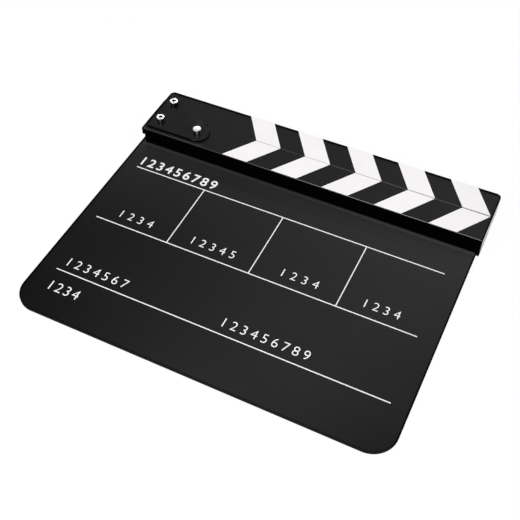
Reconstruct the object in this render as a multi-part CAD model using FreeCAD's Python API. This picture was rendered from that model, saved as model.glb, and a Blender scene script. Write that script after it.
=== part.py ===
# Clapperboard: an acrylic slate with a fixed lower clapper stick and a hinged upper one.
# It lies on its back. X runs along the sticks, Y from the foot of the slate towards the sticks,
# Z out of the writing face. The origin is under the middle of the whole object, on the plane
# that its back rests on. All lengths are millimetres and all angles degrees.
import FreeCAD, Part
import math
import os
from FreeCAD import Vector

# Sticks of lacquered wood, the lower one a little deeper
stick_length = 300.0
lower_stick_depth = 26.6
upper_stick_depth = 26.1
stick_thickness = 15.3
stick_inset = 2.1
stick_gap = 0.3
stick_corner_radius = 4.0
near_edge_break = 0.3
mating_edge_break = 0.2
plain_edge_break = 0.1
end_cut_length = 2.2
end_cut_height = 8.6
end_lip_gap = 0.1

# Slate, a sheet of acrylic as wide as the sticks are long
board_width = stick_length
board_thickness = 3.0
board_corner_radius = 19.0
board_edge_break = 0.15
writing_height = 191.0

# White film: stripes on the sticks, rules on the slate and the fields between them from the sticks down
film_thickness = 0.2
stripe_count = 5
stripe_plate_gap = 38.9
stripe_end_margin = 1.6
upper_stripe_angle = 34.6
lower_stripe_angle = 35.5
rule_width = 0.8
rule_margin = 14.5
upper_rule_shift = -1.1
bottom_rule_shift = 0.7
first_field_height = 30.0
second_field_height = 62.7
third_field_height = 58.3
divider_count = 3
column_margin = 6.8

# Hinge: where the screws stand, the plate over them and how far the stick swings
pivot_from_end = 11.7
pivot_rise = 9.45
plate_screw_spacing = 35.5
plate_thickness = 2.0
plate_margin = 10.5
plate_heel_radius = 5.0
plate_edge_break = 0.2
opening_angle = 60.0

# Cap screws, three alike, but only the two on the left have a socket
screw_diameter = 4.0
screw_head_diameter = 7.0
screw_head_height = 4.0
screw_head_round = 0.4
screw_socket_flats = 3.0
screw_socket_depth = 2.0
plate_screw_sockets = [True, False]
screw_point_break = 0.5
screw_tip_recess = 1.0
plate_hole_clearance = 0.15
stick_hole_clearance = 0.25

# Pivot: bush, washer and lock nut
bush_diameter = 6.0
bush_flange_diameter = 10.0
bush_flange_thickness = 0.3
bush_running_clearance = 0.05
washer_diameter = 9.0
washer_thickness = 0.8
washer_hole_clearance = 0.15
nut_flats = 7.0
nut_hex_height = 3.5
nut_collar_diameter = 6.4
nut_collar_height = 1.5
nut_insert_diameter = 5.4
nut_insert_height = 1.2
nut_to_tip = 0.1
nut_pocket_diameter = 11.0
nut_pocket_floor_gap = 0.1

# Tee nuts in the back of the lower stick
tee_flange_diameter = 15.0
tee_flange_thickness = 1.2
tee_flange_recess = 0.3
tee_barrel_diameter = 5.6
tee_barrel_length = 6.5

# Wood screws through the slate into the lower stick
board_screw_count = 5
board_screw_diameter = 3.0
board_screw_head_diameter = 5.6
board_screw_length = 12.0
board_screw_point = 2.5
board_screw_recess = 0.15
board_screw_slot_width = 0.7
board_screw_slot_length = 3.2
board_screw_slot_depth = 0.9
board_screw_end_margin = 20.0

# Room left round pieces that are driven, pressed or screwed into another
seat_clearance = 0.02

# How near to a plane an edge counts as lying in it
level_tolerance = 1e-6

# Places along X
x_board = -(stick_inset + stick_length) / 2
x_board_end = x_board + board_width
x_stick = x_board + stick_inset
x_stick_end = x_stick + stick_length
x_pivot = x_stick + pivot_from_end
x_plate_screws = [x_pivot, x_pivot + plate_screw_spacing]
x_board_middle = x_board + board_width / 2
x_upper_rules = x_board + rule_margin + upper_rule_shift
x_bottom_rule = x_board + rule_margin + bottom_rule_shift
x_stripes = x_plate_screws[1] + plate_margin + stripe_plate_gap
rule_length = board_width - 2 * rule_margin
divider_pitch = (board_width - 2 * column_margin) / (divider_count + 1)
stripe_width = (x_stick_end - stripe_end_margin - x_stripes) / (2 * stripe_count - 1)

# Places along Y
y_foot = -(writing_height + lower_stick_depth + stick_gap + upper_stick_depth) / 2
y_lower = y_foot + writing_height
y_joint = y_lower + lower_stick_depth
y_upper = y_joint + stick_gap
y_far = y_upper + upper_stick_depth
y_pivot = y_upper + pivot_rise
y_plate_screws = y_lower + lower_stick_depth / 2
y_top_rule = y_lower - first_field_height
y_middle_rule = y_top_rule - second_field_height
y_bottom_rule = y_middle_rule - third_field_height

# Levels along Z
z_face = board_thickness
z_lower_top = z_face + stick_thickness
z_upper_top = z_lower_top - bush_flange_thickness
z_upper_back = z_upper_top - stick_thickness
z_plate_top = z_lower_top + plate_thickness
z_screw_tip = z_face + screw_tip_recess
z_nut = z_screw_tip + nut_to_tip
z_nut_hex = z_nut + nut_collar_height
z_washer = z_nut_hex + nut_hex_height
z_bush_end = z_washer + washer_thickness
z_pocket_floor = z_bush_end + nut_pocket_floor_gap
z_tee_flange = z_face + tee_flange_recess
z_tee_barrel = z_tee_flange + tee_flange_thickness
z_tee_end = z_tee_barrel + tee_barrel_length


def rod(diameter, x, y, z_low, z_high):
    return Part.makeCylinder(diameter / 2, z_high - z_low, Vector(x, y, z_low))


def slab(x_low, y_low, z_low, x_high, y_high, z_high):
    return Part.makeBox(x_high - x_low, y_high - y_low, z_high - z_low, Vector(x_low, y_low, z_low))


def prism(points, z_low, z_high):
    """A straight-sided solid over a polygon given as (x, y) points."""
    corners = [Vector(x, y, z_low) for x, y in points]
    wire = Part.makePolygon(corners + corners[:1])
    return Part.Face(wire).extrude(Vector(0, 0, z_high - z_low))


def hexagon(flats, x, y, z_low, z_high):
    radius = flats / math.sqrt(3)
    angles = [math.radians(60 * k) for k in range(6)]
    points = [(x + radius * math.cos(a), y + radius * math.sin(a)) for a in angles]
    return prism(points, z_low, z_high)


def on_circle(x, y, radius, angle):
    turn = math.radians(angle)
    return (x + radius * math.cos(turn), y + radius * math.sin(turn))


def rounded(steps, z_low, z_high):
    """A solid over an outline of steps: a point to run straight to, or an arc (x, y, radius, from, to)."""
    edges = []
    last = None
    first = None
    for step in steps:
        if len(step) == 2:
            start = step
            end = step
        else:
            x, y, radius, angle_from, angle_to = step
            start = on_circle(x, y, radius, angle_from)
            end = on_circle(x, y, radius, angle_to)
        if last is not None:
            edges.append(Part.LineSegment(Vector(*last, z_low), Vector(*start, z_low)).toShape())
        if len(step) > 2:
            middle = on_circle(x, y, radius, (angle_from + angle_to) / 2)
            arc = Part.Arc(Vector(*start, z_low), Vector(*middle, z_low), Vector(*end, z_low))
            edges.append(arc.toShape())
        first = first or start
        last = end
    edges.append(Part.LineSegment(Vector(*last, z_low), Vector(*first, z_low)).toShape())
    return Part.Face(Part.Wire(edges)).extrude(Vector(0, 0, z_high - z_low))


def top_edges(solid, z, keep):
    """The edges that lie in the plane at height z and whose middle passes the test keep(x, y)."""
    chosen = []
    for edge in solid.Edges:
        box = edge.BoundBox
        level = abs(box.ZMin - z) < level_tolerance and abs(box.ZMax - z) < level_tolerance
        if level and keep(box.Center.x, box.Center.y):
            chosen.append(edge)
    return chosen


def broken(solid, z, size, keep=lambda x, y: True):
    """The solid with the chosen edges at height z chamfered."""
    return solid.makeChamfer(size, top_edges(solid, z, keep))


def board_screw_places():
    """A row along the lower stick, from midway between the plate screws to near the free end."""
    first = x_pivot + plate_screw_spacing / 2
    last = x_board_end - board_screw_end_margin
    pitch = (last - first) / (board_screw_count - 1)
    return [first + k * pitch for k in range(board_screw_count)]


def turned_screw(x, room):
    """A countersunk screw turned about its axis, grown by room all round."""
    z_neck = board_screw_recess + (board_screw_head_diameter - board_screw_diameter) / 2
    z_tip = board_screw_recess + board_screw_length + room
    head = board_screw_head_diameter / 2 + room
    shank = board_screw_diameter / 2 + room
    section = [(0, board_screw_recess), (head, board_screw_recess), (shank, z_neck),
               (shank, z_tip - board_screw_point), (0, z_tip)]
    corners = [Vector(radius, 0, z) for radius, z in section]
    face = Part.Face(Part.makePolygon(corners + corners[:1]))
    turned = face.revolve(Vector(0, 0, 0), Vector(0, 0, 1), 360)
    turned.translate(Vector(x, y_plate_screws, 0))
    return turned


def board_screw_hole(x):
    """The room for one wood screw, open to the back of the slate."""
    mouth = rod(board_screw_head_diameter + 2 * seat_clearance, x, y_plate_screws, 0, board_screw_recess)
    return turned_screw(x, seat_clearance).fuse(mouth)


def make_slate_board():
    """A sheet with two round lower corners, its front edges broken, drilled for the wood screws."""
    radius = board_corner_radius
    y_round = y_foot + radius
    outline = [(x_board, y_joint),
               (x_board + radius, y_round, radius, 180, 270),
               (x_board_end - radius, y_round, radius, 270, 360),
               (x_board_end, y_joint)]
    board = rounded(outline, 0, board_thickness)
    board = broken(board, board_thickness, board_edge_break)
    for x in board_screw_places():
        board = board.cut(board_screw_hole(x))
    return board


def make_lower_stick():
    """A bar cut back under its left end, with a lip past the slate's right edge.

    Its back has pockets for the tee nuts and pilot holes for the wood screws.
    """
    stick = slab(x_stick, y_lower, z_face, x_stick_end, y_joint, z_lower_top)
    stick = broken(stick, z_lower_top, mating_edge_break, lambda x, y: y > y_joint - mating_edge_break)
    stick = broken(stick, z_lower_top, near_edge_break, lambda x, y: y < y_lower + near_edge_break)
    stick = broken(stick, z_lower_top, plain_edge_break,
                   lambda x, y: y_lower + near_edge_break < y < y_joint - mating_edge_break)
    lip = slab(x_board_end + end_lip_gap, y_lower, 0, x_stick_end, y_joint, z_face)
    stick = stick.fuse(lip).removeSplitter()
    stick = stick.cut(slab(x_stick, y_lower, z_face, x_stick + end_cut_length, y_joint, z_face + end_cut_height))
    for x in x_plate_screws:
        flange = tee_flange_diameter + 2 * seat_clearance
        barrel = tee_barrel_diameter + 2 * seat_clearance
        screw = screw_diameter + 2 * stick_hole_clearance
        stick = stick.cut(rod(flange, x, y_plate_screws, z_face, z_tee_barrel))
        stick = stick.cut(rod(barrel, x, y_plate_screws, z_tee_barrel, z_tee_end))
        stick = stick.cut(rod(screw, x, y_plate_screws, z_tee_end, z_lower_top))
    for x in board_screw_places():
        stick = stick.cut(board_screw_hole(x))
    return stick


def make_upper_stick():
    """A bar whose near left corner is an arc about the pivot, then a flat that lands at full swing.

    The large break runs on from the mating edge along that arc and flat, and the small one from
    the far edge round both far corners.
    """
    corner = stick_corner_radius
    arc_end = 270 - opening_angle
    x_arc, y_arc = on_circle(x_pivot, y_pivot, pivot_rise, arc_end)
    y_flat = y_arc + (x_arc - x_stick) * math.tan(math.radians(opening_angle))
    outline = [(x_pivot, y_pivot, pivot_rise, 270, arc_end),
               (x_stick, y_flat),
               (x_stick + corner, y_far - corner, corner, 180, 90),
               (x_stick_end - corner, y_far - corner, corner, 90, 0),
               (x_stick_end, y_upper)]
    stick = rounded(outline, z_upper_back, z_upper_top)
    stick = broken(stick, z_upper_top, mating_edge_break, lambda x, y: y < y_upper + mating_edge_break)
    stick = broken(stick, z_upper_top, plain_edge_break, lambda x, y: y > y_far - mating_edge_break)
    bush = bush_diameter + 2 * seat_clearance
    stick = stick.cut(rod(bush, x_pivot, y_pivot, z_upper_back, z_upper_top))
    return stick.cut(rod(nut_pocket_diameter, x_pivot, y_pivot, z_upper_back, z_pocket_floor))


def make_hinge_plate():
    """A three-cornered plate: round about the pivot and the far screw, with a smaller heel radius."""
    x_near, x_far = x_plate_screws
    slope = math.degrees(math.atan2(y_pivot - y_plate_screws, plate_screw_spacing))
    normal = 90 - slope
    heel = plate_heel_radius
    outline = [(x_pivot, y_pivot, plate_margin, 180, normal),
               (x_far, y_plate_screws, plate_margin, normal, -90),
               (x_near - plate_margin + heel, y_plate_screws - plate_margin + heel, heel, -90, -180)]
    plate = rounded(outline, z_lower_top, z_plate_top)
    plate = broken(plate, z_plate_top, plate_edge_break)
    hole = screw_diameter + 2 * plate_hole_clearance
    places = [(x_pivot, y_pivot)] + [(x, y_plate_screws) for x in x_plate_screws]
    for x, y in places:
        plate = plate.cut(rod(hole, x, y, z_lower_top, z_plate_top))
    return plate


def make_cap_screw(x, y, socket):
    """A cap screw that stands on the plate: round-edged head, plain shank, and a hexagon socket if asked."""
    z_head_top = z_plate_top + screw_head_height
    head = rod(screw_head_diameter, x, y, z_plate_top, z_head_top)
    rim = top_edges(head, z_head_top, lambda a, b: True)
    head = head.makeFillet(screw_head_round, rim)
    if socket:
        head = head.cut(hexagon(screw_socket_flats, x, y, z_head_top - screw_socket_depth, z_head_top))
    shank = rod(screw_diameter, x, y, z_screw_tip, z_plate_top)
    shank = broken(shank, z_screw_tip, screw_point_break)
    return head.fuse(shank).removeSplitter()


def make_bush():
    """A flanged bush: its flange keeps the stick clear of the plate, its bore turns on the screw."""
    tube = rod(bush_diameter, x_pivot, y_pivot, z_bush_end, z_upper_top)
    flange = rod(bush_flange_diameter, x_pivot, y_pivot, z_upper_top, z_lower_top)
    bore = rod(screw_diameter + 2 * bush_running_clearance, x_pivot, y_pivot, z_bush_end, z_lower_top)
    return tube.fuse(flange).removeSplitter().cut(bore)


def make_washer():
    ring = rod(washer_diameter, x_pivot, y_pivot, z_washer, z_bush_end)
    return ring.cut(rod(screw_diameter + 2 * washer_hole_clearance, x_pivot, y_pivot, z_washer, z_bush_end))


def make_lock_nut():
    """A hexagon nut with a round collar behind it, recessed for a ring that grips the thread."""
    thread = screw_diameter + 2 * seat_clearance
    z_insert_top = z_nut + nut_insert_height
    nut = hexagon(nut_flats, x_pivot, y_pivot, z_nut_hex, z_washer)
    nut = nut.fuse(rod(nut_collar_diameter, x_pivot, y_pivot, z_nut, z_nut_hex)).removeSplitter()
    nut = nut.cut(rod(nut_insert_diameter + 2 * seat_clearance, x_pivot, y_pivot, z_nut, z_insert_top))
    return nut.cut(rod(thread, x_pivot, y_pivot, z_nut, z_washer))


def make_lock_nut_insert():
    thread = screw_diameter + 2 * seat_clearance
    z_insert_top = z_nut + nut_insert_height
    ring = rod(nut_insert_diameter, x_pivot, y_pivot, z_nut, z_insert_top)
    return ring.cut(rod(thread, x_pivot, y_pivot, z_nut, z_insert_top))


def make_tee_nut(x):
    """A flanged nut with a barrel, let into the back of the lower stick."""
    nut = rod(tee_flange_diameter, x, y_plate_screws, z_tee_flange, z_tee_barrel)
    nut = nut.fuse(rod(tee_barrel_diameter, x, y_plate_screws, z_tee_barrel, z_tee_end)).removeSplitter()
    return nut.cut(rod(screw_diameter + 2 * seat_clearance, x, y_plate_screws, z_tee_flange, z_tee_end))


def make_board_screw(x):
    """A countersunk wood screw with a cross in its head."""
    screw = turned_screw(x, 0)
    long = board_screw_slot_length / 2
    short = board_screw_slot_width / 2
    z_floor = board_screw_recess + board_screw_slot_depth
    for half_x, half_y in ((long, short), (short, long)):
        slot = slab(x - half_x, y_plate_screws - half_y, 0, x + half_x, y_plate_screws + half_y, z_floor)
        screw = screw.cut(slot)
    return screw


def make_stripe(index, y_point, y_end, y_joint_middle, lean, z):
    """One slanted film stripe; its corners lie on lines that lean back from the joint of the sticks."""
    def reach(y):
        return -abs(y - y_joint_middle) * math.tan(math.radians(lean))

    x = x_stripes + 2 * index * stripe_width
    points = [(x + reach(y_point), y_point), (x + stripe_width + reach(y_point), y_point),
              (x + stripe_width + reach(y_end), y_end), (x + reach(y_end), y_end)]
    return prism(points, z, z + film_thickness)


def make_rule(x_low, y):
    half = rule_width / 2
    return slab(x_low, y - half, z_face, x_low + rule_length, y + half, z_face + film_thickness)


def make_divider(index):
    """A short rule between the top and the middle long rules, butted against both."""
    x = x_board_middle + (index - (divider_count - 1) / 2) * divider_pitch
    half = rule_width / 2
    return slab(x - half, y_middle_rule + half, z_face, x + half, y_top_rule - half, z_face + film_thickness)


def make_all():
    """Every piece by the name of its node; a group of like fasteners is a list."""
    pieces = {
        "slate_board": make_slate_board(),
        "lower_stick": make_lower_stick(),
        "upper_stick": make_upper_stick(),
        "hinge_plate": make_hinge_plate(),
        "pivot_screw": make_cap_screw(x_pivot, y_pivot, True),
        "plate_screws": [make_cap_screw(x, y_plate_screws, socket)
                         for x, socket in zip(x_plate_screws, plate_screw_sockets)],
        "pivot_bush": make_bush(),
        "pivot_washer": make_washer(),
        "pivot_lock_nut": make_lock_nut(),
        "lock_nut_insert": make_lock_nut_insert(),
        "tee_nuts": [make_tee_nut(x) for x in x_plate_screws],
        "board_screws": [make_board_screw(x) for x in board_screw_places()],
        "rule_top": make_rule(x_upper_rules, y_top_rule),
        "rule_middle": make_rule(x_upper_rules, y_middle_rule),
        "rule_bottom": make_rule(x_bottom_rule, y_bottom_rule),
    }
    y_joint_middle = (y_joint + y_upper) / 2
    for k in range(divider_count):
        pieces[f"divider_{k + 1}"] = make_divider(k)
    for k in range(stripe_count):
        pieces[f"upper_stripe_{k + 1}"] = make_stripe(
            k, y_upper + mating_edge_break, y_far - plain_edge_break, y_joint_middle,
            upper_stripe_angle, z_upper_top)
        pieces[f"lower_stripe_{k + 1}"] = make_stripe(
            k, y_joint - mating_edge_break, y_lower + near_edge_break, y_joint_middle,
            lower_stripe_angle, z_lower_top)
    return pieces


os.makedirs("parts", exist_ok=True)
for name, piece in make_all().items():
    shape = Part.makeCompound(piece) if isinstance(piece, list) else piece
    shape.exportStep(f"parts/{name}.step")
    print(name, len(shape.Solids), "solid", round(shape.Volume, 1), "mm3", shape.isValid())
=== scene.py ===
# %% [markdown]
# # A clapperboard, dressed in cells
# The object is a black slate with two clapper sticks along its top edge, hinged at the left. Its solids
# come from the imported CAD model, which stays where it is. This lesson gives each solid a finish, makes the
# few pieces that need finer shapes, and then sets up the floor, the light and the camera. All lengths are
# metres.

# %% Load the frame
import math

import bpy
import numpy as np
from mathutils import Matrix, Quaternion, Vector


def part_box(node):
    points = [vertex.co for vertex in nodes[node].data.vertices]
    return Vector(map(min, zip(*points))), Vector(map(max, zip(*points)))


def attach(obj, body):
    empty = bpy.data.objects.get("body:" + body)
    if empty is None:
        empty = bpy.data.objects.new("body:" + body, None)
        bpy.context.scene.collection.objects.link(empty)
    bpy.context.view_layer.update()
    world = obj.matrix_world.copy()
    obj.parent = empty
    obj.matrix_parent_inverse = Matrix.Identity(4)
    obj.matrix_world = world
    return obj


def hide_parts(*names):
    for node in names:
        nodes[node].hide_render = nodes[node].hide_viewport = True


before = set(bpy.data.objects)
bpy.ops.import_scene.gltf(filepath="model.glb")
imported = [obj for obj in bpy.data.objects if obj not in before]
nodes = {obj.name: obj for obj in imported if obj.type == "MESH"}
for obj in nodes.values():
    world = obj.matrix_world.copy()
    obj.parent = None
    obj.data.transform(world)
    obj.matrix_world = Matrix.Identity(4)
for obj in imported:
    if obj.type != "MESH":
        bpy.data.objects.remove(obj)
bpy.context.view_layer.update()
MM = 0.001

# %% [markdown]
# ## A bench for shader nodes
# A finish is a formula: this much haze, that much grain, a little more gloss here. Wiring it up by hand
# takes a page of calls for each material. Three small classes let the formulas be written as Python
# expressions. Wire wraps one output socket, and arithmetic on it adds a Math node. Bench wraps a node tree,
# and its node method adds any other node from its type, its settings and the values or links of its
# sockets. Finish is a bench for one material.

# %% Wire
class Wire:
    """One output socket, with arithmetic: each operation on it adds one Math node."""

    def __init__(self, bench, socket):
        self.bench = bench
        self.socket = socket

    def maths(self, operation, *values):
        return self.bench.node("Math", {"operation": operation}, dict(enumerate(values)))

    def __add__(self, other):
        return self.maths("ADD", self, other)

    def __radd__(self, other):
        return self.maths("ADD", other, self)

    def __sub__(self, other):
        return self.maths("SUBTRACT", self, other)

    def __rsub__(self, other):
        return self.maths("SUBTRACT", other, self)

    def __mul__(self, other):
        return self.maths("MULTIPLY", self, other)

    def __rmul__(self, other):
        return self.maths("MULTIPLY", other, self)

    def size(self):
        return self.maths("ABSOLUTE", self)

    def root(self):
        return self.maths("SQRT", self)

    def least(self, other):
        """The value, but no less than the other."""
        return self.maths("MAXIMUM", self, other)

    def most(self, other):
        """The value, but no more than the other."""
        return self.maths("MINIMUM", self, other)

    def rise(self, low, high):
        """Goes smoothly from 0 where the value is low to 1 where it is high."""
        sockets = {"Value": self, "From Min": low, "From Max": high}
        return self.bench.node("MapRange", {"interpolation_type": "SMOOTHSTEP"}, sockets)


def methods(kind):
    return sorted(name for name in vars(kind) if not name.startswith("__"))


print("Wire has", methods(Wire))

# %% Bench
class Bench:
    """A node tree and the one method that adds nodes to it."""

    def __init__(self, tree):
        self.tree = tree

    def plug(self, socket, value):
        if isinstance(value, Wire):
            self.tree.links.new(value.socket, socket)
        else:
            socket.default_value = value

    def node(self, kind, settings=None, sockets=None, out=0):
        made = self.tree.nodes.new("ShaderNode" + kind)
        for name, value in (settings or {}).items():
            setattr(made, name, value)
        for name, value in (sockets or {}).items():
            self.plug(made.inputs[name], value)
        return Wire(self, made.outputs[out]) if made.outputs else None

    def mix(self, factor, first, second):
        """The first colour where factor is 0 and the second where it is 1."""
        return self.node("Mix", {"data_type": "RGBA"}, {0: factor, 6: first, 7: second}, out=2)

    def shade(self, value):
        """A grey of that lightness."""
        return self.node("CombineColor", None, {0: value, 1: value, 2: value})

    def place(self):
        """Where a point is on the object, in metres."""
        return self.node("TexCoord", out="Object")

    def along(self, axis):
        return self.node("SeparateXYZ", None, {0: self.place()}, out=axis)

    def noise(self, per_metre, detail=2.0, stretch=(1, 1, 1)):
        """Soft noise from 0 to 1, with about per_metre waves in a metre, times stretch along each axis."""
        scaled = self.node("Mapping", None, {"Vector": self.place(), "Scale": stretch})
        return self.node("TexNoise", None, {"Vector": scaled, "Scale": per_metre, "Detail": detail})

    def bump(self, height, depth):
        """Tilts the surface as if height from 0 to 1 were a relief that many metres deep."""
        return self.node("Bump", None, {"Strength": 1.0, "Distance": depth, "Height": height}, out="Normal")


print("Bench has", methods(Bench))

# %% Finish
class Finish(Bench):
    """A material: constants go straight to the shader's sockets, and what varies is fed in by wire."""

    def __init__(self, name, **constants):
        self.material = bpy.data.materials.new(name)
        self.material.use_nodes = True
        super().__init__(self.material.node_tree)
        self.shader = self.tree.nodes["Principled BSDF"]
        for socket, value in constants.items():
            self.shader.inputs[socket.replace("_", " ")].default_value = value

    def feed(self, **wires):
        for socket, wire in wires.items():
            self.plug(self.shader.inputs[socket.replace("_", " ")], wire)
        print(self.material.name, len(self.tree.nodes), "nodes")

    def bare(self, share, colour):
        """Shows a plain matt surface of one colour in place of the finish where share is 1."""
        matt = self.node("BsdfDiffuse", None, {"Color": colour})
        mixed = self.node("MixShader", None, {0: share, 1: Wire(self, self.shader.outputs[0]), 2: matt})
        self.plug(self.tree.nodes["Material Output"].inputs["Surface"], mixed)


def grey(value):
    return (value, value, value, 1.0)


print("Finish adds", methods(Finish))

# %% [markdown]
# ## The slate's acrylic
# The writing face is a sheet of black acrylic that has been wiped thousands of times. The wiping leaves a
# faint, soft haze, and painted sheen goes with it: the lift is greater towards the sticks and in one broad
# sweep from the middle of the foot to the upper right, and least in the two lower corners. Under the stick,
# painted light fills in the wall's shade as a thin film, with a lighter line just off the wall. Hairline
# scratches mostly run with the arm, left to right. A flat black would look like a hole in the picture, so
# the haze and the painted light lift the black a little and the hairlines change how rough the surface is.
# A narrow rim round the sheet is painted shade, black, narrowest at the foot and on the right, and the sawn
# side is matt. The rim could be modelled as a bevel, but it is a painted darkening and not a shape. So a
# formula measures how far a point lies from the outline, and that distance fades the lift and the gloss out.

# %% The distance from the sheet's edge
SHEET_LOW, SHEET_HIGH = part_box("slate_board")
SHEET_CORNER = 19.0 * MM


def from_edge(finish):
    """How far a point lies inside the sheet's outline, a rectangle whose corners are round.

    Measured from the rectangle's middle, each coordinate is taken without its sign, less half the side, plus
    the corner's radius. Past the corner's centre both are positive, and the distance to that centre counts.
    """
    middle = (SHEET_LOW + SHEET_HIGH) / 2
    inner = (SHEET_HIGH - SHEET_LOW) / 2 - Vector((SHEET_CORNER, SHEET_CORNER, 0))
    past_x = (finish.along("X") - middle.x).size() - inner.x
    past_y = (finish.along("Y") - middle.y).size() - inner.y
    reach_x, reach_y = past_x.least(0.0), past_y.least(0.0)
    round_reach = (reach_x * reach_x + reach_y * reach_y).root()
    flat_reach = past_x.least(past_y).most(0.0)
    return SHEET_CORNER - round_reach - flat_reach


print("sheet", [round(side / MM, 1) for side in SHEET_HIGH - SHEET_LOW], "mm")

# %% The sheet's rim of painted shade
RIM_BLACK = 0.9 * MM
RIM_FADE = 2.9 * MM
RIM_SLIMMER_RIGHT = 0.7
SAWN_TOP = 0.2 * MM
EDGE_BLACK = grey(0.0008)


def rim_shade_and_sawn_side(finish):
    """How much matt black shows: painted shade in the rim, and the matt sawn side, a little less of each
    along the foot.
    """
    x, y, z = finish.along("X"), finish.along("Y"), finish.along("Z")
    foot = 1 - y.rise(SHEET_LOW.y + 4.0 * MM, SHEET_LOW.y + SHEET_CORNER)
    slimmer = 1 + foot + RIM_SLIMMER_RIGHT * x.rise(0.0, 0.12)
    rim = 1 - (from_edge(finish) * slimmer).rise(RIM_BLACK, RIM_FADE)
    side = 1 - z.rise(SHEET_HIGH.z - SAWN_TOP - 0.1 * MM, SHEET_HIGH.z - SAWN_TOP)
    return (rim * (0.9 - 0.3 * foot)).least(side * (0.95 - 0.29 * foot))


print("rim black to", round(RIM_BLACK / MM, 1), "mm, gone at", round(RIM_FADE / MM, 1), "mm")

# %% Painted light along the stick's wall
STICK_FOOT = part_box("lower_stick")[0].y
PAINTED_WALL_FILL = 0.0042
PAINTED_WALL_FILL_LESS_RIGHT = 0.8
PAINTED_WALL_FILL_FADE = (4.0 * MM, 18.0 * MM)
PAINTED_WALL_FILL_RIGHT = (-0.05, 0.04)
WALL_LINE_LIFT = 0.0165
WALL_LINE_MORE_RIGHT = 0.0075
WALL_LINE_START = (0.5 * MM, 1.6 * MM)
WALL_LINE_STOP = (2.0 * MM, 4.4 * MM)
WALL_LINE_RIGHT = (0.0, 0.1)


def lift_by_wall(x, y):
    """Painted light that fills the wall's shade, thinning out down the slate and to the right, and a lighter
    line just off the wall.
    """
    off_wall = STICK_FOOT - y
    film = (1 - off_wall.rise(*PAINTED_WALL_FILL_FADE)) * (1 - PAINTED_WALL_FILL_LESS_RIGHT * x.rise(*PAINTED_WALL_FILL_RIGHT))
    line = off_wall.rise(*WALL_LINE_START) * (1 - off_wall.rise(*WALL_LINE_STOP))
    return PAINTED_WALL_FILL * film + line * (WALL_LINE_LIFT + WALL_LINE_MORE_RIGHT * x.rise(*WALL_LINE_RIGHT))


print("the stick's wall stands at y", round(STICK_FOOT / MM, 1), "mm")

# %% Haze of the wiping, with painted sheen
HAZE_AND_SHEEN_LEAST = 0.0054
HAZE_AND_SHEEN_UP = 0.0219
HAZE_AND_SHEEN_UP_RANGE = (-0.060, 0.175)
HAZE_AND_SHEEN_SWEEP = 0.0126
SWEEP_LEFT, SWEEP_RIGHT = 0.205, 0.155
HAZE_AND_SHEEN_LESS_AT_FOOT = 0.0036
FOOT_RANGE = (-0.115, -0.070)


def haze_and_painted_sheen(x, y):
    """Haze with painted sheen: it grows up the slate and towards the sweep's middle line, and is least in
    the lower corners.

    The middle line of the sweep is where 0.871 x - 0.443 y is 94 mm.
    """
    across = 0.871 * x - 0.443 * y - 0.094
    sweep = across.rise(-SWEEP_LEFT, 0.0) * (1 - across.rise(0.0, SWEEP_RIGHT))
    corners = (1 - y.rise(*FOOT_RANGE)) * (1 - sweep)
    return HAZE_AND_SHEEN_LEAST + HAZE_AND_SHEEN_UP * y.rise(*HAZE_AND_SHEEN_UP_RANGE) + HAZE_AND_SHEEN_SWEEP * sweep - HAZE_AND_SHEEN_LESS_AT_FOOT * corners


print("haze_and_painted_light", round(HAZE_AND_SHEEN_LEAST - HAZE_AND_SHEEN_LESS_AT_FOOT, 4), "to", round(HAZE_AND_SHEEN_LEAST + HAZE_AND_SHEEN_UP + HAZE_AND_SHEEN_SWEEP, 4))

# %% Black acrylic
def acrylic_with_painted_light():
    """Haze, painted sheen and painted light by the wall lift the black, and smears and hairlines change
    how rough it is.
    """
    finish = Finish("acrylic_with_painted_light", Specular_IOR_Level=0.10)
    x, y = finish.along("X"), finish.along("Y")
    haze_and_painted_light = haze_and_painted_sheen(x, y) + lift_by_wall(x, y)
    smear = finish.noise(14, 4, (0.5, 1, 1)).rise(0.3, 0.75)
    hairs = finish.noise(60, 3, (1, 45, 1)).rise(0.66, 0.74)
    cross = finish.noise(60, 3, (38, 1.5, 1)).rise(0.70, 0.77)
    finish.feed(
        Base_Color=finish.shade(haze_and_painted_light * (0.94 + 0.10 * smear + 0.08 * hairs)),
        Roughness=0.46 + 0.08 * smear + 0.08 * hairs + 0.06 * cross,
        Normal=finish.bump(hairs + 0.7 * cross, 0.002 * MM),
    )
    # The rim is painted shade round the sheet's outline.
    finish.bare(rim_shade_and_sawn_side(finish), EDGE_BLACK)
    return finish.material


acrylic = acrylic_with_painted_light()

# %% [markdown]
# ## The sticks' lacquer
# The sticks are hardwood under black lacquer. Lacquer fills the grain but not quite, so fine pores still
# run along the stick. Hands and cases rub the top satin, in soft patches. Its grey is painted lighter
# towards the free end and lighter still on the ledge in front of the hinge plate: both are painted light.
# The near edge is worn to a gloss, most towards the free end, which is slapped shut. The long sides are
# matt and deep black. A narrow rim along the outer edges of the top is black as well, as painted shade. The
# ends, where the grain drinks the lacquer and gets a second coat, are glossy down to the last few
# millimetres. Each face could be given a material of its own. Here the place of a point in the stick's box
# tells its parts apart, so one formula does both sticks and the borders can be soft.

# %% The parts of a stick
PLATE_LOW, PLATE_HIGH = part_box("hinge_plate")
END_RIM = (0.5 * MM, 1.9 * MM)
FAR_RIM = (1.4 * MM, 4.0 * MM)
END_SKIN = 0.05 * MM
END_FOOT = 5.0 * MM
LEDGE_EDGE = (2.6 * MM, 3.0 * MM)
LEDGE_END = (PLATE_HIGH.x - 4.0 * MM, PLATE_HIGH.x + 4.0 * MM)


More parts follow.
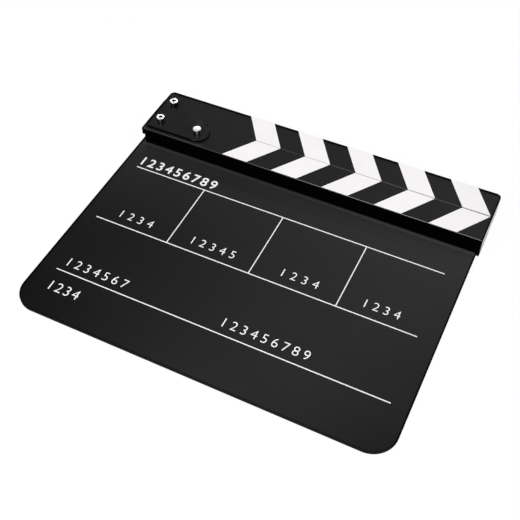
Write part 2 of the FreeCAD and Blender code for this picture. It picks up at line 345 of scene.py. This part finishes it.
def stick_parts(finish, node, outer_far_edge):
    """Masks of a stick's top with its broken edges, near edge, rim of painted shade, ends, and the ledge of
    painted light in front of the plate.

    Heights tell the top, its broken edges and the sides apart, and places along X tell the ends.
    """
    low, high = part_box(node)
    x, y, z = finish.along("X"), finish.along("Y"), finish.along("Z")
    top = z.rise(high.z - 0.42 * MM, high.z - 0.32 * MM)
    broken = 1 - z.rise(high.z - 0.04 * MM, high.z - 0.01 * MM)
    near = (1 - (y - low.y).rise(0.5 * MM, 1.0 * MM)) * top * broken
    from_end = (x - low.x).most(high.x - x)
    rim = 1 - from_end.rise(*END_RIM)
    if outer_far_edge:
        rim = rim.least(1 - (high.y - y).rise(*FAR_RIM))
    end = (1 - from_end.rise(0.0, END_SKIN)) * z.rise(END_FOOT - 1.0 * MM, END_FOOT)
    ledge = (1 - (y - low.y).rise(*LEDGE_EDGE)) * (1 - x.rise(*LEDGE_END))
    return top, near, rim, end, ledge


print("ledge to x", round(PLATE_HIGH.x / MM, 1), "mm, in front of the plate")

# %% Black lacquer
WORN_RANGE = (-0.10, 0.05)
TOP_GREY = 0.0105
TOP_RUB = 0.0020
PAINTED_LIGHT_AT_MIDDLE = 0.70
PAINTED_LIGHT_PER_METRE = 3.2
LEAST_GREY = 0.0003


def lacquer(name, node, wear, ledge_painted_light, outer_far_edge):
    """Lacquer for one stick.

    wear is the gloss of its near edge, the next argument is how much painted light lifts its ledge above the
    rest of the top, and outer_far_edge says if its far edge is the object's own.
    """
    finish = Finish(name, Specular_IOR_Level=0.18, Coat_Roughness=0.10)
    top, near, rim, end, ledge = stick_parts(finish, node, outer_far_edge)
    x = finish.along("X")
    pores = finish.noise(55, 4, (1, 26, 26)).rise(0.52, 0.72)
    rub = finish.noise(30, 3, (0.6, 1, 1)).rise(0.3, 0.7)
    worn = x.rise(*WORN_RANGE)
    satin = top * (1 - near)
    # The top's grey is painted light, lighter from the hinge towards the free end.
    top_grey_and_painted_light = (TOP_GREY + TOP_RUB * rub) * (PAINTED_LIGHT_AT_MIDDLE + PAINTED_LIGHT_PER_METRE * x)
    # The ledge in front of the hinge plate is lifted by painted light.
    lift = satin * (top_grey_and_painted_light + ledge_painted_light * ledge) + LEAST_GREY
    finish.feed(
        Base_Color=finish.shade(lift),
        Roughness=0.14 + satin * (0.34 + 0.05 * rub + 0.05 * pores),
        Coat_Weight=wear * near * worn,
        Normal=finish.bump(pores, 0.006 * MM),
    )
    side = 0.95 * (1 - top) * (1 - end)
    unworn = (0.9 - wear) * near * (1 - worn)
    # The rim along the outer edges of the top is painted shade, in matt black.
    finish.bare(side.least(0.9 * top * rim).least(unworn), EDGE_BLACK)
    return finish.material


lower_lacquer = lacquer("lower_stick_lacquer", "lower_stick", 0.40, 0.014, False)
upper_lacquer = lacquer("upper_stick_lacquer", "upper_stick", 0.08, 0.0, True)

# %% [markdown]
# ## The hinge plate's enamel
# The plate is sheet steel with a coat of black enamel. Sprayed enamel settles into a faint orange peel, a
# ripple a millimetre or so across. It is only a few thousandths of a millimetre high, so a bump is enough.
# It is the glossiest black on the object: the screw heads mirror in it. The sides are matt, and bands along
# the left and the front of the top and the broken edge of the slanted side are painted shade, in matt black.

# %% Black enamel
LEFT_BORDER = (1.6 * MM, 3.2 * MM)
FRONT_BORDER = (0.3 * MM, 1.1 * MM)
FRONT_END = (9.0 * MM, 12.0 * MM)
SLANT_BORDER = (4.0 * MM, 6.0 * MM)


def enamel():
    """Dusty gloss on the top, and matt black borders, painted shade along the outline.

    The slanted side is where 0.55 x + 0.83 y is greatest, measured from the plate's far left corner.
    """
    finish = Finish("plate_enamel", Specular_IOR_Level=0.42)
    x, y, z = finish.along("X"), finish.along("Y"), finish.along("Z")
    peel = finish.noise(700, 1)
    dust = finish.noise(90, 4).rise(0.35, 0.8)
    broken = 1 - z.rise(PLATE_HIGH.z - 0.03 * MM, PLATE_HIGH.z - 0.005 * MM)
    side = 1 - z.rise(PLATE_HIGH.z - 0.27 * MM, PLATE_HIGH.z - 0.22 * MM)
    left = 1 - (x - PLATE_LOW.x).rise(*LEFT_BORDER)
    front = (1 - (y - PLATE_LOW.y).rise(*FRONT_BORDER)) * (PLATE_HIGH.x - x).rise(*FRONT_END)
    slant = (0.55 * (x - PLATE_LOW.x) + 0.83 * (y - PLATE_HIGH.y)).rise(*SLANT_BORDER)
    finish.feed(
        Base_Color=finish.mix(dust, grey(0.0038), grey(0.0052)),
        Roughness=0.06 + 0.05 * dust + 0.55 * broken,
        Normal=finish.bump(peel, 0.002 * MM),
    )
    # Matt black sides, and painted shade in bands along the left and the front and on the slanted broken
    # edge.
    borders = (0.95 * side).least(0.85 * left).least(0.9 * front).least(0.8 * broken * slant)
    finish.bare(borders, EDGE_BLACK)
    return finish.material


plate_enamel = enamel()

# %% [markdown]
# ## The white film
# The stripes, the rules and the numbers are cut from thin white film with glue on its back. It is a
# slightly warm white, a little uneven where it was pressed down, with a fine grain from the roller that
# made it. Along the joint between the sticks the film's edge is darkened with painted shade of the gap,
# most towards the free end, and the free end itself is a little soiled, because it is held there. The
# stripes could be painted on by a mask in the lacquer. As each is a solid of its own, one plain finish
# does them all.

# %% White film
JOINT = (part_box("lower_stick")[1].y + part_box("upper_stick")[0].y) / 2
FILM_CLEAN = (0.930, 0.902, 0.916, 1)
FILM_PRESSED = (0.904, 0.878, 0.892, 1)
JOINT_SHADE = 0.9
JOINT_SHADE_AND_SOIL_GREY = grey(0.05)
JOINT_SHADE_FADE = (0.35 * MM, 1.0 * MM)
JOINT_SHADE_RANGE = (0.02, 0.18)
SOIL = 0.036
SOIL_RANGE = (0.10, 0.13)


def film():
    """White, uneven where it was pressed, darkened with painted shade within a millimetre of the joint
    between the sticks, and a little greyer at the free end."""
    finish = Finish("white_film", Specular_IOR_Level=0.35)
    pressed = finish.noise(40, 3).rise(0.3, 0.7)
    grain = finish.noise(2600, 1)
    x, y = finish.along("X"), finish.along("Y")
    # Painted shade of the gap between the sticks, within a millimetre of the joint.
    by_joint = 1 - (y - JOINT).size().rise(*JOINT_SHADE_FADE)
    dark = (JOINT_SHADE * by_joint * x.rise(*JOINT_SHADE_RANGE)).least(SOIL * x.rise(*SOIL_RANGE))
    clean = finish.mix(pressed, FILM_CLEAN, FILM_PRESSED)
    finish.feed(
        Base_Color=finish.mix(dark, clean, JOINT_SHADE_AND_SOIL_GREY),
        Roughness=0.42 + 0.12 * pressed,
        Normal=finish.bump(grain, 0.0015 * MM),
    )
    return finish.material


white_film = film()

# %% [markdown]
# ## The metals
# The nuts and wood screws behind the sticks are zinc plated, which is dull and has a cloudy bloom. The bush
# is plain brass. One function does both: a bright colour, a tarnished one, and how rough each is. The lock
# nut's ring is natural nylon. The cap screws are bright plated steel, turned on a lathe. Their tops
# scatter the light and look white. Their sides are painted near black, a painted reflection of the dark
# plate, with a few painted highlights in streaks. They get a function of their own, because it also reads
# from the mesh where painted shade darkens the socket and the grooves of the knurl.

# %% Zinc, brass and nylon
def metal(name, bright, dull, roughness, spread, per_metre):
    finish = Finish(name, Metallic=1.0)
    bloom = finish.noise(per_metre, 4).rise(0.35, 0.75)
    fine = finish.noise(12 * per_metre, 2)
    finish.feed(
        Base_Color=finish.mix(bloom, bright, dull),
        Roughness=roughness + spread * bloom,
        Normal=finish.bump(fine, 0.002 * MM),
    )
    return finish.material


def nylon():
    finish = Finish("nylon", Specular_IOR_Level=0.4)
    cloud = finish.noise(500, 2)
    finish.feed(Base_Color=finish.mix(cloud, grey(0.72), grey(0.62)), Roughness=0.4 + 0.1 * cloud)
    return finish.material


zinc = metal("zinc_plate", (0.66, 0.67, 0.70, 1), (0.50, 0.51, 0.53, 1), 0.34, 0.20, 260)
brass = metal("bush_brass", (0.78, 0.58, 0.27, 1), (0.55, 0.39, 0.17, 1), 0.28, 0.18, 300)
insert_nylon = nylon()

# %% Bright steel
SCREW_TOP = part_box("pivot_screw")[1].z


def screw_steel():
    """White turned tops, sides painted near black as a reflection with painted highlight streaks, and
    painted shade where the mesh says so.
    """
    finish = Finish("screw_steel", Metallic=1.0)
    top = finish.along("Z").rise(SCREW_TOP - 0.40 * MM, SCREW_TOP - 0.15 * MM)
    highlight_streak = finish.noise(1040, 1, (1, 1, 0.05)).rise(0.57, 0.65)
    recess_shade = finish.node("Attribute", {"attribute_name": "recess_shade"}, out="Fac")
    # The side's near black is a painted reflection of the dark plate, its streaks are painted highlights,
    # and the painted shade from the mesh darkens the socket and the knurl's grooves.
    clean = finish.mix(top, finish.mix(highlight_streak, grey(0.03), grey(0.80)), grey(0.94))
    finish.feed(
        Base_Color=finish.mix(recess_shade, clean, grey(0.012)),
        Roughness=0.12 + 0.18 * top + 0.40 * highlight_streak * (1 - top),
    )
    return finish.material


bright_steel = screw_steel()

# %% [markdown]
# ## Dressing the solids
# Each CAD solid keeps its shape and takes a finish by name. Names that share a beginning share a finish, so
# a short table of beginnings does for all the stripes and rules, and a new one would be dressed as well.

# %% Give every node its finish
FINISHES = {
    "slate_board": acrylic,
    "lower_stick": lower_lacquer,
    "upper_stick": upper_lacquer,
    "hinge_plate": plate_enamel,
    "pivot_screw": bright_steel,
    "plate_screws": bright_steel,
    "pivot_bush": brass,
    "pivot_washer": zinc,
    "pivot_lock_nut": zinc,
    "lock_nut_insert": insert_nylon,
    "tee_nuts": zinc,
    "board_screws": zinc,
    "rule": white_film,
    "divider": white_film,
    "upper_stripe": white_film,
    "lower_stripe": white_film,
}


def finish_of(name):
    return next(finish for start, finish in FINISHES.items() if name.startswith(start))


for name, node in nodes.items():
    for slot in node.material_slots:
        slot.material = finish_of(name)
print("dressed", len(nodes), "nodes")

# %% [markdown]
# ## Cap screws with a knurl
# The three cap screws are what the eye goes to first at the hinge. Two have a hexagon socket, and the one on
# the right has a plain top. The CAD solids have smooth heads, but a real one is knurled round its side, and
# its shank is threaded. Cutting teeth and threads one by one would be slow. Instead each screw is one
# surface of revolution: a profile of radius against height, carried round the axis, where the radius also
# depends on the angle. On the side of the head it dips between the teeth of the knurl, in the socket it
# follows a hexagon, and on the shank it rises and falls along a helix. Each height of the profile is called
# a station.

# %% A surface carried round an axis
def turned(radius, height, recess_shade, centre):
    """Points and faces of a profile carried round an upright axis at a centre.

    radius and the painted shade are stations by angles, height is stations, and the first and last stations
    are points on the axis. A point is x, y, z and its painted shade.
    """
    stations, angles = radius.shape
    turn = 2 * np.pi * np.arange(angles) / angles
    x = centre[0] + radius * np.cos(turn)
    y = centre[1] + radius * np.sin(turn)
    z = np.broadcast_to(height[:, None], radius.shape)
    rings = np.stack([x, y, z, recess_shade], -1)
    points = np.concatenate([rings[:1, 0], rings[1:-1].reshape(-1, 4), rings[-1:, 0]])
    inner = 1 + np.arange((stations - 2) * angles).reshape(stations - 2, angles)
    after = np.roll(inner, -1, axis=1)
    quads = np.stack([inner[:-1], after[:-1], after[1:], inner[1:]], -1).reshape(-1, 4)
    foot = np.stack([np.zeros(angles, int), after[0], inner[0]], -1)
    top = np.stack([np.full(angles, len(points) - 1), inner[-1], after[-1]], -1)
    return points, [quads, foot, top]


def turned_mesh(name, surfaces, finish, sharp=35):
    """One piece of several turned surfaces, with painted shade as an attribute of its points."""
    starts = np.cumsum([0] + [len(points) for points, _ in surfaces])
    points = np.concatenate([points for points, _ in surfaces])
    faces = [part + start for (_, parts), start in zip(surfaces, starts) for part in parts]
    mesh = bpy.data.meshes.new(name)
    mesh.from_pydata(points[:, :3].copy(), [], [row for part in faces for row in part.tolist()])
    mesh.attributes.new("recess_shade", "FLOAT", "POINT").data.foreach_set("value", points[:, 3].copy())
    mesh.polygons.foreach_set("use_smooth", np.ones(len(mesh.polygons), bool))
    mesh.set_sharp_from_angle(angle=math.radians(sharp))
    mesh.materials.append(finish)
    piece = bpy.data.objects.new(name, mesh)
    bpy.context.scene.collection.objects.link(piece)
    print(name, len(mesh.polygons), "faces")
    return piece

# %% The shape of a cap screw
HEAD_RADIUS = 3.5 * MM
HEAD_HEIGHT = SCREW_TOP - PLATE_HIGH.z
HEAD_ROUND = 0.4 * MM
HEAD_UNDERCUT = 0.25 * MM
KNURL_TEETH = 45
KNURL_DEPTH = 0.06 * MM
SHANK_RADIUS = 2.0 * MM
TIP_CHAMFER = 0.5 * MM
THREAD_PITCH = 0.7 * MM
THREAD_DEPTH = 0.3 * MM
SOCKET_FLATS = 3.0 * MM
SOCKET_DEPTH = 2.0 * MM
MOUTH_BREAK = 0.06 * MM
STEPS_PER_TURN = 6
ANGLES = 180
TURN_SHARES = np.arange(ANGLES) / ANGLES
print("head", round(HEAD_HEIGHT / MM, 2), "mm high")

# %% Shank, head and socket
def triangle(phase):
    """A wave that is 1 at whole phases and 0 halfway between them."""
    return np.abs(2 * (phase % 1) - 1)


def ring(radius, height, recess_shade):
    """One station, the same all round."""
    return np.full((1, ANGLES), radius), np.array([height]), np.full((1, ANGLES), recess_shade)


def shank_stations(z_tip, z_seat):
    """Radius = shank - depth x triangle(height / pitch - share of a turn), fading out at both ends."""
    steps = int((z_seat - z_tip) / THREAD_PITCH * STEPS_PER_TURN)
    height = np.linspace(z_tip + TIP_CHAMFER, z_seat, steps)
    fade = np.clip((z_seat - height) / THREAD_PITCH - 1, 0, 1)
    fade = fade * np.clip((height - z_tip) / THREAD_PITCH - 0.5, 0, 1)
    thread = triangle(height[:, None] / THREAD_PITCH - TURN_SHARES) * fade[:, None]
    return SHANK_RADIUS - THREAD_DEPTH * thread, height, np.zeros_like(thread)


def head_stations(z_seat, z_top):
    """Radius = head - knurl depth x triangle(teeth x share of a turn), under a quarter round crown.

    The knurl runs out in the crown, and painted shade half darkens its grooves.
    """
    bend = np.linspace(0, np.pi / 2, 6)
    side = z_seat + np.array([0.0, 0.08, 0.3, 0.55]) * (z_top - z_seat)
    height = np.concatenate([side, z_top - HEAD_ROUND + HEAD_ROUND * np.sin(bend)])
    crown = HEAD_RADIUS - HEAD_ROUND + HEAD_ROUND * np.cos(bend)
    plain = np.concatenate([[HEAD_RADIUS - HEAD_UNDERCUT], np.full(3, HEAD_RADIUS), crown])
    cut = np.concatenate([[0.0, 1.0, 1.0, 1.0], np.clip(1 - bend / 0.5, 0, 1)])
    groove = cut[:, None] * triangle(KNURL_TEETH * TURN_SHARES)
    return plain[:, None] - KNURL_DEPTH * groove, height, 0.5 * groove


def socket_stations(z_top):
    """Radius = half the flats / cos(angle from the middle of the nearest flat), from the mouth to the floor.

    The mouth's edge is broken by a hair, and painted shade darkens the lower walls and the floor.
    """
    hexagon = SOCKET_FLATS / 2 / np.cos(((6 * TURN_SHARES) % 1 - 0.5) * np.pi / 3)
    radius = np.stack([hexagon + MOUTH_BREAK, hexagon, hexagon, hexagon, 0.45 * hexagon])
    depth = np.array([0, MOUTH_BREAK, 0.5 * MM, SOCKET_DEPTH - 0.3 * MM, SOCKET_DEPTH])
    recess_shade = np.zeros_like(radius)
    recess_shade[3:] = 1.0
    return radius, z_top - depth, recess_shade


def screw_surface(z_tip, z_top, socket):
    """Radius, height and painted shade of all stations, from the tip up over the head and down into any
    socket.
    """
    z_seat = z_top - HEAD_HEIGHT
    parts = [
        ring(0.0, z_tip, 0.0),
        ring(SHANK_RADIUS - TIP_CHAMFER, z_tip, 0.0),
        shank_stations(z_tip, z_seat),
        head_stations(z_seat, z_top),
    ]
    if socket:
        parts += [socket_stations(z_top), ring(0.0, z_top - SOCKET_DEPTH, 1.0)]
    else:
        parts += [ring(0.0, z_top, 0.0)]
    return [np.concatenate(column) for column in zip(*parts)]


tip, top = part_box("pivot_screw")
print("pivot screw", len(screw_surface(tip.z, top.z, True)[1]), "stations of", ANGLES, "angles")

# %% Stand the screws in their places
def cap_screws(name, node, sockets):
    """Knurled screws in place of a node, in a row from one end of its box to the other.

    sockets says of each whether it has a socket or a plain top.
    """
    low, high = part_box(node)
    y = (low.y + high.y) / 2
    places = np.linspace(low.x + HEAD_RADIUS, high.x - HEAD_RADIUS, len(sockets))
    profiles = [screw_surface(low.z, high.z, socket) for socket in sockets]
    surfaces = [turned(*profile, (x, y)) for profile, x in zip(profiles, places)]
    piece = turned_mesh(name, surfaces, bright_steel)
    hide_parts(node)
    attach(piece, "slate")


cap_screws("pivot_screw_knurled", "pivot_screw", [True])
cap_screws("plate_screws_knurled", "plate_screws", [True, False])

# %% [markdown]
# ## Plain numbers on the slate
# The fields of the slate carry rows of plain counting numbers, cut from the same film as the rules. A font
# object gives the outlines. It is made a mesh first, then stretched to the row's width and height, and only
# then put on the slate, so the finished piece sits at the origin like every other.

# %% Number rows
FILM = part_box("rule_top")[1].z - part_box("slate_board")[1].z
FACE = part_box("slate_board")[1].z
NUMBER_ROWS = [
    ("numbers_first", "1 2 3 4 5 6 7 8 9", -136.7, -65.7, 42.5, 9.5, 0.010),
    ("numbers_column_1", "1 2 3 4", -120.9, -91.5, -16.2, 7.4, -0.010),
    ("numbers_column_2", "1 2 3 4 5", -55.2, -18.0, -16.2, 7.4, -0.010),
    ("numbers_column_3", "1 2 3 4", 22.2, 52.0, -15.4, 7.4, -0.010),
    ("numbers_column_4", "1 2 3 4", 89.2, 116.6, -15.5, 7.4, -0.010),
    ("numbers_lower_left", "1 2 3 4 5 6 7", -130.8, -78.0, -76.4, 7.8, -0.010),
    ("numbers_lower_right", "1 2 3 4 5 6 7 8 9", 3.0, 71.2, -75.5, 7.8, -0.010),
    ("numbers_foot", "1 2 3 4", -130.9, -105.5, -101.2, 8.4, -0.010),
]


def outline_mesh(name, text, space, weight):
    """The outlines of a text as a flat solid in the font's units, with space times the usual word space."""
    outline = bpy.data.curves.new(name, "FONT")
    outline.body = text
    outline.space_word = space
    outline.offset = weight
    outline.extrude = 0.5
    outline.resolution_u = 6
    source = bpy.data.objects.new(name + "_outline", outline)
    bpy.context.scene.collection.objects.link(source)
    seen = source.evaluated_get(bpy.context.evaluated_depsgraph_get())
    mesh = bpy.data.meshes.new_from_object(seen)
    bpy.data.objects.remove(source)
    points = np.empty(3 * len(mesh.vertices))
    mesh.vertices.foreach_get("co", points)
    return mesh, points.reshape(-1, 3)


def wide_to_high(text, space, weight):
    points = outline_mesh("trial", text, space, weight)[1]
    wide, high, _ = np.ptp(points, axis=0)
    return wide / high


def number_row(name, text, x_low, x_high, y_base, height, weight):
    """A row of numbers as flat film, from x_low to x_high and height tall above y_base, in millimetres.

    The row widens evenly with the word space, so two trial widths give the space that fits.
    """
    narrow, wide = [wide_to_high(text, space, weight) for space in (1.0, 2.0)]
    space = 1.0 + ((x_high - x_low) / height - narrow) / (wide - narrow)
    mesh, points = outline_mesh(name, text, space, weight)
    low, high = points.min(0), points.max(0)
    to_low = np.array([x_low * MM, y_base * MM, FACE])
    to_high = np.array([x_high * MM, (y_base + height) * MM, FACE + FILM])
    points = to_low + (points - low) / (high - low) * (to_high - to_low)
    mesh.vertices.foreach_set("co", points.ravel())
    mesh.update()
    mesh.name = name
    mesh.materials.clear()
    mesh.materials.append(white_film)
    piece = bpy.data.objects.new(name, mesh)
    bpy.context.scene.collection.objects.link(piece)
    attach(piece, "slate")
    print(name, len(mesh.polygons), "faces, word space", round(space, 2))


for row in NUMBER_ROWS:
    number_row(*row)

# %% [markdown]
# ## Floor
# The object lies on a plain white table that runs out of sight. To the camera, and in mirrors and glass,
# the table is nearly pure white, as in a catalogue picture, but a share of its real shading is kept, so
# that the object's soft shadow still ties it to the ground.

# %% White table
FLOOR_RADIUS = 20.0
FLOOR_DROP = 0.2 * MM
FLOOR_WHITE = 0.95
FLOOR_GLOW = 1.012


def white_table():
    corner = FLOOR_RADIUS * np.array([[-1, -1], [1, -1], [1, 1], [-1, 1]])
    points = np.column_stack([corner, np.full(4, -FLOOR_DROP)])
    mesh = bpy.data.meshes.new("floor")
    mesh.from_pydata(points, [], [[0, 1, 2, 3]])
    material = bpy.data.materials.new("white_table")
    material.use_nodes = True
    material.node_tree.nodes.clear()
    bench = Bench(material.node_tree)
    mottle = bench.noise(3, 2)
    paper = bench.node("BsdfDiffuse", None, {"Color": bench.mix(mottle, grey(0.84), grey(0.80))})
    glow = bench.node("Emission", None, {"Color": grey(1.0), "Strength": FLOOR_GLOW})
    rays = [bench.node("LightPath", out=f"Is {kind} Ray") for kind in ("Camera", "Glossy", "Transmission")]
    white = FLOOR_WHITE * (rays[0] + rays[1] + rays[2])
    bench.node("OutputMaterial", None, {0: bench.node("MixShader", None, {0: white, 1: paper, 2: glow})})
    mesh.materials.append(material)
    floor = bpy.data.objects.new("floor", mesh)
    bpy.context.scene.collection.objects.link(floor)
    print("floor", 2 * FLOOR_RADIUS, "m wide")


white_table()

# %% [markdown]
# ## Light
# A studio for small glossy things is mostly a bright, even dome. Here the world is that dome: white at the
# horizon, so that the table has no edge, and greyer overhead, so that black gloss stays black. One soft
# patch of it, up behind the object, is what the camera sees mirrored in the flat faces. Four soft boxes add
# shape. The front one draws the fine bright lines along the edges that face the camera, and the top one
# lightens the sticks towards their free end. The rim and side boxes are small and strong. They stand
# behind, each just beside the patch that the hinge plate mirrors to the camera, so they whiten the screw
# tops, which scatter light, and leave the plate black.

# %% Dome
DOME_HORIZON = 1.0
DOME_GREY = 0.20
DOME_FADE = (0.08, 0.36)
PATCH_WAY = (-0.10, 0.62, 0.78)
PATCH_LIFT = 0.10


def dome():
    world = bpy.data.worlds.new("studio")
    world.use_nodes = True
    world.node_tree.nodes.clear()
    bpy.context.scene.world = world
    bench = Bench(world.node_tree)
    way = bench.node("TexCoord", out="Generated")
    up = bench.node("SeparateXYZ", None, {0: way}, out="Z")
    facing = bench.node("VectorMath", {"operation": "DOT_PRODUCT"}, {0: way, 1: PATCH_WAY}, out="Value")
    horizon = 1 - up.rise(*DOME_FADE)
    level = DOME_GREY + (DOME_HORIZON - DOME_GREY) * horizon + PATCH_LIFT * facing.rise(0.78, 1.0)
    sky = bench.node("Background", None, {"Color": grey(1.0), "Strength": level})
    bench.node("OutputWorld", None, {0: sky})
    print("dome", len(world.node_tree.nodes), "nodes")


dome()

# %% Soft boxes
BOARD_MIDDLE = (0, 0, 0)
NEAR_EDGE = (0, STICK_FOOT, 0.018)
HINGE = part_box("pivot_screw")[1]


def soft_box(name, about, way, distance, wide, high, radiance):
    """An oblong lamp some way off from a point that it faces. Its power is radiance x area x pi."""
    lamp = bpy.data.lights.new(name, "AREA")
    lamp.shape = "RECTANGLE"
    lamp.size = wide
    lamp.size_y = high
    lamp.energy = radiance * wide * high * math.pi
    box = bpy.data.objects.new(name, lamp)
    bpy.context.scene.collection.objects.link(box)
    direction = Vector(way).normalized()
    box.location = Vector(about) + direction * distance
    box.rotation_euler = direction.to_track_quat("Z", "Y").to_euler()
    print(name, round(lamp.energy, 2), "W")


soft_box("front_box", NEAR_EDGE, (-0.274, -0.713, 0.645), 1.5, 1.0, 0.5, 9.7)
soft_box("top_box", BOARD_MIDDLE, (0.55, 0.15, 0.82), 1.6, 1.2, 1.2, 2.7)
soft_box("rim_box", HINGE, (-0.369, 0.706, 0.612), 1.6, 0.1, 0.1, 34.0)
soft_box("side_box", HINGE, (-0.524, 0.608, 0.596), 1.6, 0.1, 0.1, 22.0)

# %% [markdown]
# ## Camera
# The camera stands in front and to the right and looks down at about fifty degrees. Its place, its roll and
# its focal length were worked out from the straight edges of the object in a picture 520 pixels square.

# %% Camera
FRAME_PIXELS = 520
FOCAL_PIXELS = 831.20
CAMERA_PLACE = Vector((184.86, -365.80, 498.88)) * MM
CAMERA_TARGET = Vector((1.37, -8.15, 3.00)) * MM
CAMERA_ROLL = math.radians(-1.464)

lens = bpy.data.cameras.new("camera")
lens.sensor_width = 36.0
lens.lens = FOCAL_PIXELS / FRAME_PIXELS * lens.sensor_width
lens.clip_start = 0.01
camera = bpy.data.objects.new("camera", lens)
bpy.context.scene.collection.objects.link(camera)
camera.location = CAMERA_PLACE
aim = (CAMERA_TARGET - CAMERA_PLACE).to_track_quat("-Z", "Y")
camera.rotation_euler = (aim @ Quaternion((0, 0, 1), CAMERA_ROLL)).to_euler()
bpy.context.scene.camera = camera
bpy.context.scene.view_settings.view_transform = "Standard"
print("lens", round(lens.lens, 2), "mm")

# %% [markdown]
# ## The end
